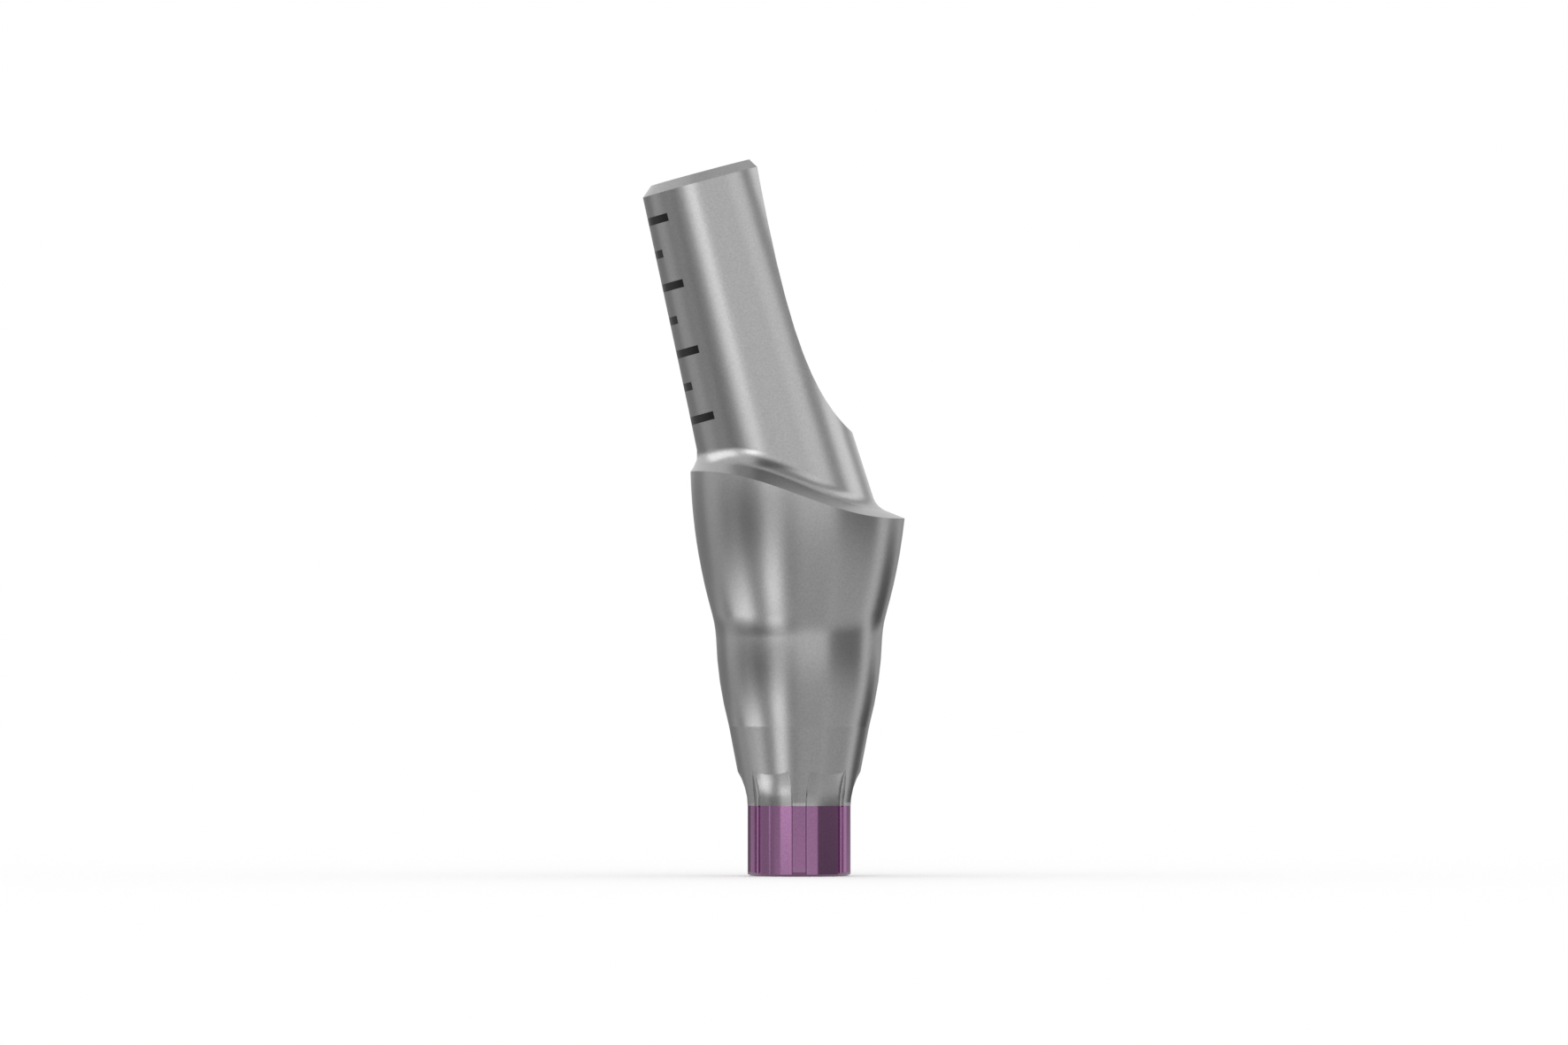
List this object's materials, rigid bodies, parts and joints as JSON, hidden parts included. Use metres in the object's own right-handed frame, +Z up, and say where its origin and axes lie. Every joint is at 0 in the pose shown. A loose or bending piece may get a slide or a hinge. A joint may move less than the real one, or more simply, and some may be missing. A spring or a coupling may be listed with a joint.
{
  "type": "dental abutment",
  "caption": "Angled titanium post on a scalloped, flared collar, with a sealing cone, a ribbed anti-rotation index and a straight screw channel that breaks out of the post's side.",
  "frame": {"origin": "on the implant axis, at the index's lower end face", "axes": "+Z up the implant axis, out of the implant; the post leans 15 degrees towards -X; a rib of the index points along +Y and another along -Y"},
  "size_m": [0.0054, 0.0044, 0.0148],
  "materials": {
    "titanium": "satin machined titanium alloy, violet anodised on the index"
  },
  "bodies": {
    "root": {"abutment": "titanium"}
  },
  "joints": []
}
